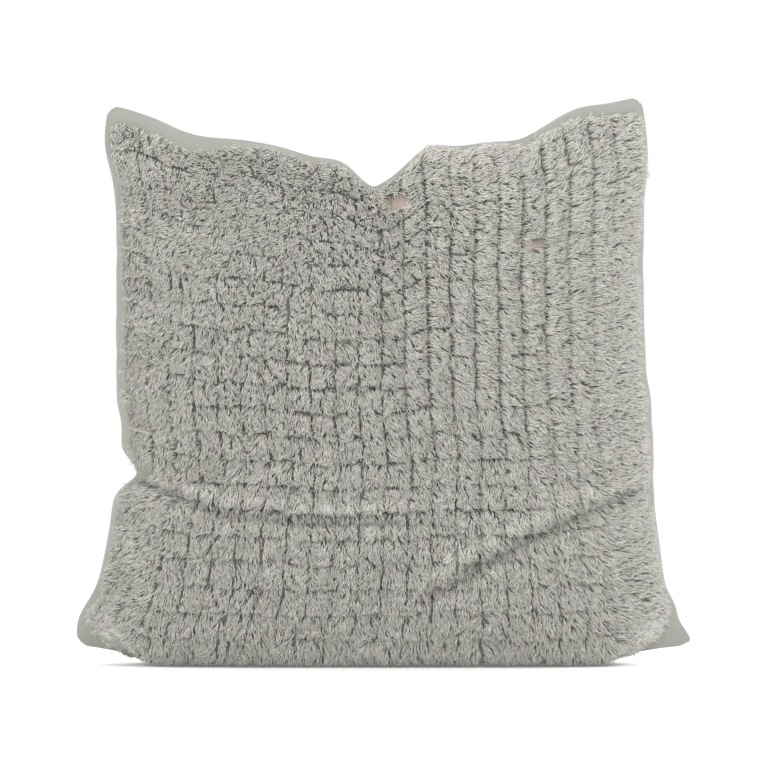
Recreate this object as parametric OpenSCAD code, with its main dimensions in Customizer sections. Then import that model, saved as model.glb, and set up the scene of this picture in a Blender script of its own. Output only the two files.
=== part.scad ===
// Square cut-pile throw pillow standing on its lower edge, dented at the middle of its top edge.
// The front is a ground cloth with columns of tufts. The back is plain cloth with a coil zipper across it.
// A stuffed insert fills the cover. +X is to the right, +Y to the back and +Z up.
// The origin is the middle of the outline on the resting plane. Lengths are in millimetres.

/* [Outline of the filled cover] */
// Flat width and height of the sewn cover
cover_size = 508; // [490:1:530]
// Distance between the two bottom corners
bottom_span = 495; // [480:1:510]
// Height of a top corner above the surface
corner_height = 454; // [440:1:470]
// How much higher the right top corner stands than the left one
corner_rise = 7; // [0:1:15]
// Distance between the sides where they pull in most
waist_span = 422; // [410:1:440]
// How far the top edge sags between its corners
top_sag = 42; // [20:1:50]
// Depth of the dent at the middle of the top edge
dent_depth = 28; // [0:1:30]
// Depth of the fold where the left side pulls in
fold_depth = 17; // [0:1:20]

/* [Fullness] */
// Greatest distance from the middle plane to the cloth
fullness = 78; // [74:1:84]
// Depth of the flat resting area on each side of the bottom seam
rest_depth = 48; // [42:1:54]
// Distance from the seam to the flat band that holds the zipper, measured backwards
band_y = 65; // [63:1:67]

/* [Cloth] */
// Thickness of the tufted ground cloth
ground_cloth_t = 1.5; // [1:0.1:2]
// Thickness of the plain back cloth
back_cloth_t = 1.2; // [0.8:0.1:1.5]
// Width of the seam allowance inside the cover
allowance_w = 8; // [5:0.5:8]
// Thickness of the seam allowance at its raw edge
allowance_t = 1.6; // [1:0.1:1.6]

/* [Cut pile] */
// Number of tufted columns
columns = 22; // [20:2:24]
// Number of tufts in a full column
tufts = 22; // [20:2:24]
// Untufted border beside the seam
border = 12; // [10:1:14]
// Height of the pile at the middle of a column
pile_h = 9; // [7:0.5:10]
// Height of the pile in the groove between two columns
groove_h = 6; // [4:0.5:7]
// Height of the pile where the weight of the pillow presses it flat
pressed_pile_h = 7; // [6:0.5:8]

/* [Zipper] */
// Length of the opening in the back
opening_l = 320; // [300:1:330]
// Height of the zipper above the surface
zipper_z = 64; // [62:1:70]
// Height of the opening in the back cloth
opening_h = 14; // [13:0.5:15]
// Width of each tape
tape_w = 14; // [12:0.5:15]
// Thickness of each tape
tape_t = 0.6; // [0.4:0.1:0.8]
// Width of the closed coil chain
chain_w = 6; // [5:0.5:6.5]
// Thickness of the coil chain
chain_t = 2.4; // [2:0.1:2.6]
// Slit between the two coils, which the post of the slider runs in
chain_slit = 1.2; // [1.2:0.1:1.6]

/* [Slider] */
// Width of the slider
slider_w = 9.6; // [9.6:0.1:11]
// Length of the slider
slider_l = 12.5; // [12:0.5:14]
// Thickness of the plates of the slider
plate_t = 0.9; // [0.8:0.1:1.1]
// Clearance between the slider and the chain
slider_gap = 0.3; // [0.25:0.05:0.4]
// Radius of the pin of the pull tab
pin_r = 0.7; // [0.6:0.05:0.8]
// Length of the pull tab
tab_l = 24; // [20:1:28]
// Width of the pull tab
tab_w = 6; // [5.5:0.5:7]
// Thickness of the pull tab
tab_t = 1.2; // [1:0.1:1.2]

/* [Insert] */
// Thickness of the shell of the insert
shell_t = 0.8; // [0.6:0.1:1.2]
// Room between the cover and the insert
insert_gap = 3.5; // [3:0.5:4]
// Extra room between the insert and the zipper
zipper_room = 5; // [4:0.5:6]

/* [Hidden] */
column_names = [for (i = [1 : columns]) str("pile_column_", i < 10 ? "0" : "", i)];

pile_colour = "#a9a79d";
cloth_colour = "#b3aca0";
tape_colour = "#b5afa4";
metal_colour = "#8d8a84";
insert_colour = "#efece4";

FRONT = -1;
BACK = 1;

// ---- Outline: four edge curves, blended over the middle plane ----

foot_z = pressed_pile_h; // height of the bottom seam
corner_z = foot_z + 8; // height of the bottom corners
corner_start = 0.74; // share of the half width where the bottom edge starts to lift
seam_y = pile_h / 2; // the pile is only on the front, so the seam lies behind the origin
waist_shift = 6; // the waist lies this far to the left of the middle

function ramp(t) = let (c = min(1, max(0, t))) c * c * (3 - 2 * c);
function hump(t, at, half_w) = exp(-pow((t - at) / half_w, 2));
function corner_share(u) = ramp((abs(2 * u - 1) - corner_start) / (1 - corner_start));

// Waves of an edge, each with its place along the edge, half width and height
left_waves = [[0.05, 0.045, -8], [0.39, 0.05, 4], [0.93, 0.06, -6]];
right_waves = [[0.075, 0.025, 4], [0.42, 0.1, 4], [0.6, 0.25, 4], [0.9, 0.1, 7]];
top_waves = [[0.16, 0.07, -6], [0.39, 0.05, -5], [0.6, 0.045, 10], [0.77, 0.05, -6], [0.88, 0.05, 5]];
function waves(list, t, k = 0) =
    k == len(list) ? 0 : list[k][2] * hump(t, list[k][0], list[k][1]) + waves(list, t, k + 1);

// How far a side flares out below the waist, with its share of the wider bottom, its height and its curve
left_flare = [0.43, 0.42, 2];
right_flare = [0.41, 0.5, 1.2];
function flare(shape, v) =
    (bottom_span - waist_span) * shape[0] * pow(max(0, 1 - v / shape[1]), shape[2]);
// How far the left side leans out towards its top corner, and where it starts to
lean = 7;
lean_start = 0.6;

function left_edge(v) = [
    -waist_span / 2 - waist_shift
        - flare(left_flare, v)
        - lean * pow(max(0, (v - lean_start) / (1 - lean_start)), 2)
        + waves(left_waves, v),
    corner_z + (corner_height - corner_z) * v
];
function right_edge(v) = [
    waist_span / 2 - waist_shift + flare(right_flare, v) + waves(right_waves, v),
    corner_z + (corner_height + corner_rise - corner_z) * v
];
bottom_left = left_edge(0);
bottom_right = right_edge(0);
top_left = left_edge(1);
top_right = right_edge(1);

function bottom_edge(u) = [
    bottom_left[0] + (bottom_right[0] - bottom_left[0]) * u,
    foot_z + (corner_z - foot_z) * corner_share(u)
];
sag_curve = 1.3;
function top_edge(u) = [
    top_left[0] + (top_right[0] - top_left[0]) * u,
    top_left[1] + (top_right[1] - top_left[1]) * u
        - top_sag * pow(4 * u * (1 - u), sag_curve)
        + waves(top_waves, u)
];
// The dent, the fold and the longer right bottom corner fade away from the edges that they are on
dent_u = 0.5;
dent_left = [0.05, 1.8]; // half width and curve of the dent's steep side
dent_right = [0.085, 1.3]; // and of its gentle side
dent_fade = 6;
fold_v = 0.322;
fold_half_w = 0.03;
fold_fade = 8;
corner_stretch = 15;
stretch_half_w = 0.05;
stretch_fade = 12;
function dent_share(u) =
    let (side = u < dent_u ? dent_left : dent_right) exp(-pow(abs(u - dent_u) / side[0], side[1]));
function local_shape(u, v) = [
    fold_depth * hump(v, fold_v, fold_half_w) * pow(1 - u, fold_fade)
        + corner_stretch * hump(v, 0, stretch_half_w) * pow(u, stretch_fade),
    -dent_depth * dent_share(u) * pow(v, dent_fade)
];
// Place in the middle plane, u from left to right and v from bottom to top
function outline(u, v) =
    local_shape(u, v)
    + (1 - v) * bottom_edge(u) + v * top_edge(u) + (1 - u) * left_edge(v) + u * right_edge(v)
    - (1 - u) * ((1 - v) * bottom_left + v * top_left)
    - u * ((1 - v) * bottom_right + v * top_right);

// ---- Skin: the outside of the cover's cloth, u and v as shares of the flat cloth ----

foot_v = 0.11; // share of the cloth that lies flat under the pillow
full_v = 0.38; // where the pillow is fullest
crown_curve = [2.4, 0.62]; // powers of the profile above it
side_curve = [3, 0.55]; // powers of the profile across
// The dent makes the crown thinner: by how much, its half width, and where it starts
thinning = 0.3;
thin_half_w = 0.1;
thin_start = 0.6;

function rise(v) =
    let (
        foot = rest_depth / fullness,
        below = (full_v - v) / (full_v - foot_v),
        above = (v - full_v) / (1 - full_v)
    )
    v < foot_v ? foot * v / foot_v
    : v < full_v ? foot + (1 - foot) * sqrt(1 - below * below)
    : pow(1 - pow(min(1, above), crown_curve[0]), crown_curve[1]);
function spread(u) = pow(max(0, 1 - pow(abs(2 * u - 1), side_curve[0])), side_curve[1]);
function thinned(u, v) = thinning * hump(u, dent_u, thin_half_w) * ramp((v - thin_start) / (1 - thin_start));
function bulge(u, v) = fullness * rise(v) * spread(u) * (1 - thinned(u, v));

// Share of the height reached at v: nothing under the foot, and evenly above it
function climb(u, v) =
    let (c = corner_share(u))
    c * v + (1 - c) * max(0, v - foot_v) / (1 - foot_v);
function place(u, v) = outline(u, climb(u, v));

// The zipper keeps a band of the back flat
band_half_l = opening_l / 2 + 13;
band_half_h = 17;
band_spare = 3; // flat past its ends, because the sides of the cloth lean
band_fade_l = 30; // where the band turns back into the crown, past its ends
band_fade_h = 16; // and above and below it
function band(p) =
    ramp((band_half_l + band_spare + band_fade_l - abs(p[0])) / band_fade_l)
    * ramp((band_half_h + band_fade_h - abs(p[1] - zipper_z)) / band_fade_h);

// The back cloth touches the surface, while the ground cloth stands on its pile
sink_v = 0.04; // share of the cloth over which it comes down
function sink(u, v) =
    foot_z * ramp(v / sink_v) * (1 - corner_share(u)) * min(1, max(0, 2 - v / foot_v));

function skin(side, u, v) =
    let (p = place(u, v), b = side == BACK ? band(p) : 0)
    [p[0], seam_y + side * (bulge(u, v) * (1 - b) + band_y * b), p[1] - (side == BACK ? sink(u, v) : 0)];

step = 0.002; // step in u and v that the slope of the skin is taken over
function inward(side, u, v) =
    let (
        du = skin(side, u + step, v) - skin(side, u - step, v),
        dv = skin(side, u, v + step) - skin(side, u, v - step),
        n = cross(du, dv) * side
    )
    n / norm(n);

function on_rim(u, v) = u == 0 || u == 1 || v == 0 || v == 1;
function shrink(t, inset) = inset / cover_size + t * (1 - 2 * inset / cover_size);
function rim(u, v, inset) = let (p = outline(shrink(u, inset), shrink(v, inset))) [p[0], seam_y, p[1]];

// A point of a layer: depth below the skin, rim_inset from the seam at the rim, no lower than floor_z
function layer(side, u, v, depth, rim_inset, floor_z) =
    on_rim(u, v) ? rim(u, v, rim_inset)
    : let (p = skin(side, u, v) + depth * inward(side, u, v)) [p[0], p[1], max(p[2], floor_z)];

// ---- Grid lines ----

function line(k, count) =
    k == 0 ? 0
    : k == count + 2 ? 1
    : border / cover_size + (k - 1) * (1 - 2 * border / cover_size) / count;
column_lines = [for (k = [0 : columns + 2]) line(k, columns)];
tuft_lines = [for (k = [0 : tufts + 2]) line(k, tufts)];

// ---- Solids from grids of points ----

// Two triangles of a quad whose corners run bottom left, bottom right, top right, top left.
// They meet along the line from a to c, or from b to d when other is true.
function quad(a, b, c, d, other = false) = other ? [[a, d, b], [d, c, b]] : [[a, d, c], [a, c, b]];
function turned(tris) = [for (t = tris) [t[2], t[1], t[0]]];
function flip_if(flag, tris) = flag ? turned(tris) : tris;
function flat(lists) = [for (l = lists) for (x = l) x];

function sheet_faces(nu, nv, base) = flat([
    for (i = [0 : nu - 2]) for (j = [0 : nv - 2])
        let (
            a = base + i * nv + j,
            into_corner = (i == 0 && j == nv - 2) || (i == nu - 2 && j == 0)
        )
        quad(a, a + nv, a + nv + 1, a + 1, into_corner)
]);
// Indices around the edge of a grid, bottom, right, top, left
function edge_loop(nu, nv) = concat(
    [for (i = [0 : nu - 2]) i * nv],
    [for (j = [0 : nv - 2]) (nu - 1) * nv + j],
    [for (i = [nu - 1 : -1 : 1]) i * nv + nv - 1],
    [for (j = [nv - 1 : -1 : 1]) j]
);
function wall_faces(loop, gap) = flat([
    for (k = [0 : len(loop) - 1])
        let (p = loop[k], q = loop[(k + 1) % len(loop)])
        [[p, q, q + gap], [p, q + gap, p + gap]]
]);

// A closed solid between two grids, given as lists of columns of points
module slab(side, outer, inner) {
    nu = len(outer);
    nv = len(outer[0]);
    faces = concat(
        sheet_faces(nu, nv, 0),
        turned(sheet_faces(nu, nv, nu * nv)),
        wall_faces(edge_loop(nu, nv), nu * nv)
    );
    polyhedron(concat(flat(outer), flat(inner)), flip_if(side == BACK, faces));
}

// A closed ring in the middle plane between two insets, t_out and t_in thick at its edges
module rim_ring(out_inset, in_inset, t_out, t_in) {
    loop = concat(
        [for (u = column_lines) if (u < 1) [u, 0]],
        [for (v = tuft_lines) if (v < 1) [1, v]],
        [for (k = [len(column_lines) - 1 : -1 : 1]) [column_lines[k], 1]],
        [for (k = [len(tuft_lines) - 1 : -1 : 1]) [0, tuft_lines[k]]]
    );
    n = len(loop);
    points = flat([
        for (p = loop)
            let (a = rim(p[0], p[1], out_inset), b = rim(p[0], p[1], in_inset))
            [a - [0, t_out / 2, 0], a + [0, t_out / 2, 0], b + [0, t_in / 2, 0], b - [0, t_in / 2, 0]]
    ]);
    polyhedron(points, flat([
        for (k = [0 : n - 1]) for (e = [0 : 3])
            let (a = 4 * k + e, b = 4 * k + (e + 1) % 4, m = 4 * ((k + 1) % n) - 4 * k)
            [[a, b, b + m], [a, b + m, a + m]]
    ]));
}

// ---- Front ----

module front_ground_cloth() {
    color(cloth_colour) slab(
        FRONT,
        [for (u = column_lines) [for (v = tuft_lines) layer(FRONT, u, v, 0, 0, foot_z)]],
        [for (u = column_lines) [
            for (v = tuft_lines) layer(FRONT, u, v, ground_cloth_t, ground_cloth_t, foot_z + ground_cloth_t)
        ]]
    );
}

// The bottom corners of the cloth are bare, so the outer columns start higher
function first_tuft(i) = i == 1 || i == columns ? 2 : 1;
pressed_v = 1.2 * foot_v; // the weight of the pillow presses the pile below this
function pile_top(u, v, h) =
    let (pressed = v < pressed_v ? foot_z + 1 : h)
    layer(FRONT, u, v, -max(h, pressed), 0, 0);

// One column of tufts, crowned across, standing on the ground cloth
module pile_column(i) {
    u0 = column_lines[i];
    u1 = column_lines[i + 1];
    vs = [for (k = [first_tuft(i) : tufts + 1]) tuft_lines[k]];
    n = len(vs);
    points = flat([
        for (v = vs) [
            layer(FRONT, u0, v, 0, 0, foot_z),
            layer(FRONT, u1, v, 0, 0, foot_z),
            pile_top(u1, v, groove_h),
            pile_top((u0 + u1) / 2, v, pile_h),
            pile_top(u0, v, groove_h)
        ]
    ]);
    bands = flat([
        for (k = [0 : n - 2])
            let (a = 5 * k)
            concat(
                turned(quad(a, a + 1, a + 6, a + 5)),
                quad(a + 4, a + 3, a + 8, a + 9),
                quad(a + 3, a + 2, a + 7, a + 8),
                quad(a + 2, a + 1, a + 6, a + 7),
                quad(a, a + 4, a + 9, a + 5, true)
            )
    ]);
    e = 5 * (n - 1);
    caps = concat(
        [[0, 4, 3], [0, 3, 2], [0, 2, 1]],
        [[e, e + 3, e + 4], [e, e + 2, e + 3], [e, e + 1, e + 2]]
    );
    color(pile_colour) polyhedron(points, concat(bands, caps));
}

// ---- Back ----

// Value of v where the back cloth is at height z
function v_at(u, z, lo = 0, hi = 1, n = 24) =
    let (mid = (lo + hi) / 2)
    n == 0 ? mid
    : skin(BACK, u, mid)[2] < z ? v_at(u, z, mid, hi, n - 1)
    : v_at(u, z, lo, mid, n - 1);
// Value of u where the back cloth at the height of the zipper is at x
function u_at(x, lo = 0, hi = 1, n = 24) =
    let (mid = (lo + hi) / 2)
    n == 0 ? mid
    : skin(BACK, mid, v_at(mid, zipper_z))[0] < x ? u_at(x, mid, hi, n - 1)
    : u_at(x, lo, mid, n - 1);

slit_end = opening_l / 2; // the slit is closed here
slit_full = slit_end - 3; // and fully open from here inwards
band_us = [for (x = [-band_half_l, -slit_end, -slit_full]) u_at(x)];
band_us_right = [for (x = [slit_full, slit_end, band_half_l]) u_at(x)];
// Values from a to b in equal steps, without a and b
function between(a, b, steps) = [for (k = [1 : steps - 1]) a + (b - a) * k / steps];
side_steps = 4;
mid_steps = columns - 4;
back_u_lines = concat(
    [0, column_lines[1]],
    between(column_lines[1], band_us[0], side_steps),
    band_us,
    between(band_us[2], band_us_right[0], mid_steps),
    band_us_right,
    between(band_us_right[2], column_lines[columns + 1], side_steps),
    [column_lines[columns + 1], 1]
);
// The cut edge of a panel beside the zipper: both meet in a seam past the slit's ends
first_open = side_steps + 3;
last_open = len(back_u_lines) - 1 - first_open;
function cut_z(k, way) = zipper_z + way * (k < first_open || k > last_open ? 0 : opening_h / 2);

upper_steps = tufts - 5;
function upper_vs(k) =
    let (
        u = back_u_lines[k],
        flat_v = v_at(u, zipper_z + band_half_h),
        crown_v = v_at(u, zipper_z + band_half_h + band_fade_h),
        top_v = tuft_lines[tufts + 1]
    )
    concat(
        [v_at(u, cut_z(k, 1)), flat_v, (flat_v + crown_v) / 2, crown_v],
        between(crown_v, top_v, upper_steps),
        [top_v, 1]
    );
sink_steps = [0, sink_v / 2, sink_v, 2 * sink_v];
function lower_vs(k) =
    let (u = back_u_lines[k], flat_v = v_at(u, zipper_z - band_half_h))
    concat(sink_steps, [foot_v, (foot_v + flat_v) / 2, flat_v, v_at(u, cut_z(k, -1))]);

module back_panel(rows) {
    grid = [for (k = [0 : len(back_u_lines) - 1]) [for (v = rows[k]) [back_u_lines[k], v]]];
    color(cloth_colour) slab(
        BACK,
        [for (c = grid) [for (p = c) layer(BACK, p[0], p[1], 0, 0, 0)]],
        [for (c = grid) [for (p = c) layer(BACK, p[0], p[1], back_cloth_t, back_cloth_t, back_cloth_t)]]
    );
}
module back_panel_upper() { back_panel([for (k = [0 : len(back_u_lines) - 1]) upper_vs(k)]); }
module back_panel_lower() { back_panel([for (k = [0 : len(back_u_lines) - 1]) lower_vs(k)]); }

allowance_start = ground_cloth_t + 1;
allowance_end = allowance_start + allowance_w;
allowance_edge_t = 0.3; // thickness beside the seam, where the two cloths meet
module edge_seam_allowance() {
    color(cloth_colour) rim_ring(allowance_start, allowance_end, allowance_edge_t, allowance_t);
}

// ---- Zipper: the tapes lie under the panels, and the coils on the tapes ----

band_face_y = seam_y + band_y; // outer face of the flat band
tape_y = band_face_y - back_cloth_t; // outer face of the tapes
chain_l = 2 * slit_full - 14; // the stops lie inside the slit
stop_l = 3;
tape_l = 2 * band_half_l - 6;
tape_gap = 0.05; // between a tape and the panel over it

module zipper_tape(way) {
    z = way > 0 ? zipper_z + chain_slit / 2 : zipper_z - chain_slit / 2 - tape_w;
    color(tape_colour) translate([-tape_l / 2, tape_y - tape_t, z]) cube([tape_l, tape_t - tape_gap, tape_w]);
}
module zipper_tape_upper() { zipper_tape(1); }
module zipper_tape_lower() { zipper_tape(-1); }

// Half of the chain, rounded along its outer edge
module zipper_coil(way) {
    half_w = (chain_w - chain_slit) / 2;
    r = chain_t / 2;
    color(tape_colour)
        translate([-chain_l / 2, tape_y, zipper_z])
        rotate([90, 0, 90])
        linear_extrude(chain_l)
        union() {
            translate([0, way > 0 ? chain_slit / 2 : -chain_slit / 2 - half_w + r])
                square([chain_t, half_w - r]);
            translate([r, way * (chain_slit / 2 + half_w - r)]) circle(r = r, $fn = 32);
        }
}
module zipper_coil_upper() { zipper_coil(1); }
module zipper_coil_lower() { zipper_coil(-1); }

module stop_block(x, z, h) {
    color(metal_colour) translate([x, tape_y, zipper_z + z]) cube([stop_l, chain_t, h]);
}
module zipper_top_stops() {
    stop_w = chain_w / 2 - chain_slit / 2;
    stop_block(chain_l / 2, chain_slit / 2, stop_w);
    stop_block(chain_l / 2, -chain_slit / 2 - stop_w, stop_w);
}
module zipper_bottom_stop() { stop_block(-chain_l / 2 - stop_l, -chain_w / 2, chain_w); }

thread_r = 0.35;
stitch_inset = 3; // from the cut edge of the panel
module zipper_stitching(way) {
    color(tape_colour)
        translate([-slit_full, band_face_y + thread_r, zipper_z + way * (opening_h / 2 + stitch_inset)])
        rotate([0, 90, 0]) cylinder(h = 2 * slit_full, r = thread_r, $fn = 24);
}
module zipper_stitching_upper() { zipper_stitching(1); }
module zipper_stitching_lower() { zipper_stitching(-1); }

// ---- Slider, closed at the right end of the chain ----

end_gap = 0.5; // between the slider and a stop
slider_x = chain_l / 2 - end_gap - slider_l / 2;
top_plate_y = tape_y + chain_t + slider_gap;
bottom_plate_y = tape_y - tape_t - slider_gap - plate_t;
flange_t = 0.9;
post_l = 3.5; // the post that parts the two coils
plate_r = 2;
pin_gap = 0.2;
pin_y = top_plate_y + plate_t + pin_gap + pin_r;
bridge_w = 2;
bridge_t = 0.8;
bridge_l = 9;

// A plate with rounded corners in the XZ plane, from y towards the back
module plate(l, w, r, y, t) {
    translate([0, y + t, 0]) rotate([90, 0, 0]) linear_extrude(t) union() {
        square([l - 2 * r, w], center = true);
        square([l, w - 2 * r], center = true);
        for (sx = [-1, 1]) for (sz = [-1, 1])
            translate([sx * (l / 2 - r), sz * (w / 2 - r)]) circle(r = r, $fn = 32);
    }
}
module zipper_slider_body() {
    flange_y = tape_y + slider_gap;
    flange_l = slider_l - 2 * plate_r;
    post_w = chain_slit / 2;
    color(metal_colour) translate([slider_x, 0, zipper_z]) union() {
        plate(slider_l, slider_w, plate_r, top_plate_y, plate_t);
        plate(slider_l, slider_w, plate_r, bottom_plate_y, plate_t);
        for (way = [-1, 1])
            translate([-flange_l / 2, flange_y, way > 0 ? slider_w / 2 - flange_t : -slider_w / 2])
                cube([flange_l, top_plate_y - flange_y + 0.1, flange_t]);
        translate([slider_l / 2 - 1 - post_l, bottom_plate_y + 0.1, -post_w / 2])
            cube([post_l, top_plate_y - bottom_plate_y, post_w]);
    }
}
// The arch that holds the pin of the pull tab
module zipper_slider_bridge() {
    y0 = top_plate_y + plate_t;
    h = 2 * (pin_r + pin_gap) + bridge_t;
    color(metal_colour)
        translate([slider_x, y0, zipper_z - bridge_w / 2])
        linear_extrude(bridge_w)
        difference() {
            union() {
                translate([-bridge_l / 2, 0]) square([bridge_l, h - bridge_t]);
                translate([-bridge_l / 2 + bridge_t, 0]) square([bridge_l - 2 * bridge_t, h]);
                for (sx = [-1, 1])
                    translate([sx * (bridge_l / 2 - bridge_t), h - bridge_t]) circle(r = bridge_t, $fn = 32);
            }
            translate([-bridge_l / 2 + bridge_t, -1]) square([bridge_l - 2 * bridge_t, h - bridge_t + 1]);
        }
}
// The tab lies along the chain past the slider, and its pin passes under the bridge
tab_r = 1.5;
tab_hole_r = 1.2;
tab_hole_inset = 3.5;
module zipper_pull_tab() {
    arm_w = 1;
    arm_in = bridge_w / 2 + 0.3;
    arm_l = bridge_l / 2 + 1.7;
    color(metal_colour) translate([slider_x, pin_y, zipper_z]) union() {
        translate([0, 0, -arm_in - arm_w]) cylinder(h = 2 * (arm_in + arm_w), r = pin_r, $fn = 32);
        for (way = [-1, 1])
            translate([0, -tab_t / 2, way > 0 ? arm_in : -arm_in - arm_w]) cube([arm_l, tab_t, arm_w]);
        difference() {
            translate([(arm_l + tab_l) / 2 - 0.1, 0, 0])
                plate(tab_l - arm_l + 0.2, tab_w, tab_r, -tab_t / 2, tab_t);
            translate([tab_l - tab_hole_inset, tab_t, 0])
                rotate([90, 0, 0]) cylinder(h = 2 * tab_t, r = tab_hole_r, $fn = 32);
        }
    }
}

// ---- Inside the cover ----

label_u = [0.03, 0.1]; // from the side seam inwards
label_v = [0.44, 0.49];
label_t = 0.4;
label_depth = back_cloth_t + 1.4;
// A small blank tape that lies flat between the back cloth and the insert
module care_label() {
    us = [for (k = [0 : 4]) label_u[0] + (label_u[1] - label_u[0]) * k / 4];
    vs = [for (k = [0 : 3]) label_v[0] + (label_v[1] - label_v[0]) * k / 3];
    color(insert_colour) slab(
        BACK,
        [for (u = us) [for (v = vs) layer(BACK, u, v, label_depth, 0, 0)]],
        [for (u = us) [for (v = vs) layer(BACK, u, v, label_depth + label_t, 0, 0)]]
    );
}

insert_inset = allowance_end + 5;
window_fade = 30; // the insert comes back to the cloth over this length around the zipper
window_half_l = band_half_l + 20;
window_half_h = band_half_h + 28;
function zipper_window(side, u, v) =
    let (p = skin(side, u, v))
    side == FRONT ? 0
    : ramp((window_half_l + window_fade - abs(p[0])) / window_fade)
        * ramp((window_half_h + window_fade - abs(p[2] - zipper_z)) / window_fade);
function insert_depth(side, u, v) =
    (side == FRONT ? ground_cloth_t : back_cloth_t) + insert_gap + zipper_room * zipper_window(side, u, v);
function insert_floor(side) = insert_gap + (side == FRONT ? foot_z + ground_cloth_t : back_cloth_t);
function insert_point(side, u, v, more) =
    let (su = shrink(u, insert_inset), sv = shrink(v, insert_inset))
    on_rim(u, v) ? rim(u, v, insert_inset + more)
    : layer(side, su, sv, insert_depth(side, su, sv) + more, 0, insert_floor(side) + more);
function insert_grid(side, more) =
    [for (u = column_lines) [for (v = tuft_lines) insert_point(side, u, v, more)]];
module insert_shell(side) {
    color(insert_colour) slab(side, insert_grid(side, 0), insert_grid(side, shell_t));
}
module insert_shell_front() { insert_shell(FRONT); }
module insert_shell_back() { insert_shell(BACK); }
module insert_edge_seam() {
    color(insert_colour) rim_ring(allowance_end + 1, insert_inset - 0.4, 1, 1);
}
module insert_fill() {
    nu = len(column_lines);
    nv = len(tuft_lines);
    front = insert_grid(FRONT, shell_t);
    back = insert_grid(BACK, shell_t);
    loop = edge_loop(nu, nv);
    gap = nu * nv;
    function own(a) = on_edge(a, nu, nv) ? a - gap : a;
    back_faces = turned(sheet_faces(nu, nv, gap));
    color(insert_colour) polyhedron(
        concat(flat(front), flat(back)),
        concat(sheet_faces(nu, nv, 0), [for (f = back_faces) [for (a = f) own(a)]])
    );
}
function on_edge(a, nu, nv) =
    let (k = a - nu * nv, i = floor(k / nv), j = k % nv)
    i == 0 || i == nu - 1 || j == 0 || j == nv - 1;

front_ground_cloth();
for (i = [1 : columns])
    pile_column(i);
back_panel_upper();
back_panel_lower();
edge_seam_allowance();
zipper_tape_upper();
zipper_tape_lower();
zipper_coil_upper();
zipper_coil_lower();
zipper_top_stops();
zipper_bottom_stop();
zipper_stitching_upper();
zipper_stitching_lower();
zipper_slider_body();
zipper_slider_bridge();
zipper_pull_tab();
care_label();
insert_shell_front();
insert_shell_back();
insert_edge_seam();
insert_fill();
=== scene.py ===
"""Looks of the throw pillow: a tufted cut-pile front, a plain zipped back and the stuffed insert inside.

The shape functions are those of the CAD part, in millimetres, with u and v as shares of the flat cloth:
u from left to right, v from the bottom seam to the top seam. Meshes are made in metres.
"""

import math

import bpy
import numpy as np
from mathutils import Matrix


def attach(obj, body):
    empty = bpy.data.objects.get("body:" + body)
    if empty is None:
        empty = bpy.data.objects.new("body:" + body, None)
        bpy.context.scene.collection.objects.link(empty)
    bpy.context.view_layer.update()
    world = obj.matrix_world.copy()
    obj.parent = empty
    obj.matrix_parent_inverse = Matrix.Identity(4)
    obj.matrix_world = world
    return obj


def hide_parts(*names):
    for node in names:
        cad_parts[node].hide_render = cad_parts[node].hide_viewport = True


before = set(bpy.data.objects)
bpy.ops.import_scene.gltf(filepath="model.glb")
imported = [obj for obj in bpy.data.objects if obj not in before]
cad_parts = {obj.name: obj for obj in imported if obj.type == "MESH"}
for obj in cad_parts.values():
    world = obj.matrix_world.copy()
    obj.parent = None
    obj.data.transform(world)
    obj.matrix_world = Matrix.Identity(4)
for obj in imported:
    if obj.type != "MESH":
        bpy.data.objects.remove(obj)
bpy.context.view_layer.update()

MM = 0.001
SEED = 41
FRONT, BACK = -1, 1

# ---- Sizes that the CAD part has too, in millimetres

COVER = 508
BOTTOM_SPAN, WAIST_SPAN = 495, 422
CORNER_HEIGHT, CORNER_RISE = 454, 7
TOP_SAG, DENT_DEPTH, FOLD_DEPTH = 42, 28, 17
FULLNESS, REST_DEPTH = 78, 48
GROUND_T, BACK_T = 1.5, 1.2
COLUMNS, TUFTS, BORDER = 22, 22, 12
PILE_H, PRESSED_PILE_H = 9, 7
FOOT_Z = PRESSED_PILE_H
CORNER_Z, CORNER_START = FOOT_Z + 8, 0.74
SEAM_Y = PILE_H / 2
FOOT_V, FULL_V = 0.11, 0.38
OPENING_HALF, OPENING_H, ZIPPER_Z = 160, 14, 64
BAND_Y, BAND_HALF_L, BAND_HALF_H, BAND_SPARE = 65, 173, 17, 3
BAND_FADE_L, BAND_FADE_H = 30, 16
BAND_FACE_Y = SEAM_Y + BAND_Y
TAPE_Y = BAND_FACE_Y - BACK_T
TAPE_HALF_L, TAPE_W, TAPE_T = 170, 14, 0.55
CHAIN_HALF_L, CHAIN_W, CHAIN_T, CHAIN_SLIT = 150, 6, 2.4, 1.2
ALLOWANCE_START, ALLOWANCE_W, ALLOWANCE_T = GROUND_T + 1, 8, 1.6
INSERT_INSET, INSERT_GAP, SHELL_T = ALLOWANCE_START + ALLOWANCE_W + 5, 3.5, 0.8

# Waves of the edges: place and half width as shares of the edge, and height
LEFT_WAVES = [(0.05, 0.045, -8), (0.39, 0.05, 4), (0.93, 0.06, -6)]
RIGHT_WAVES = [(0.075, 0.025, 4), (0.42, 0.1, 4), (0.6, 0.25, 4), (0.9, 0.1, 7)]
TOP_WAVES = [(0.16, 0.07, -6), (0.39, 0.05, -5), (0.6, 0.045, 10), (0.77, 0.05, -6), (0.88, 0.05, 5)]
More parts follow.
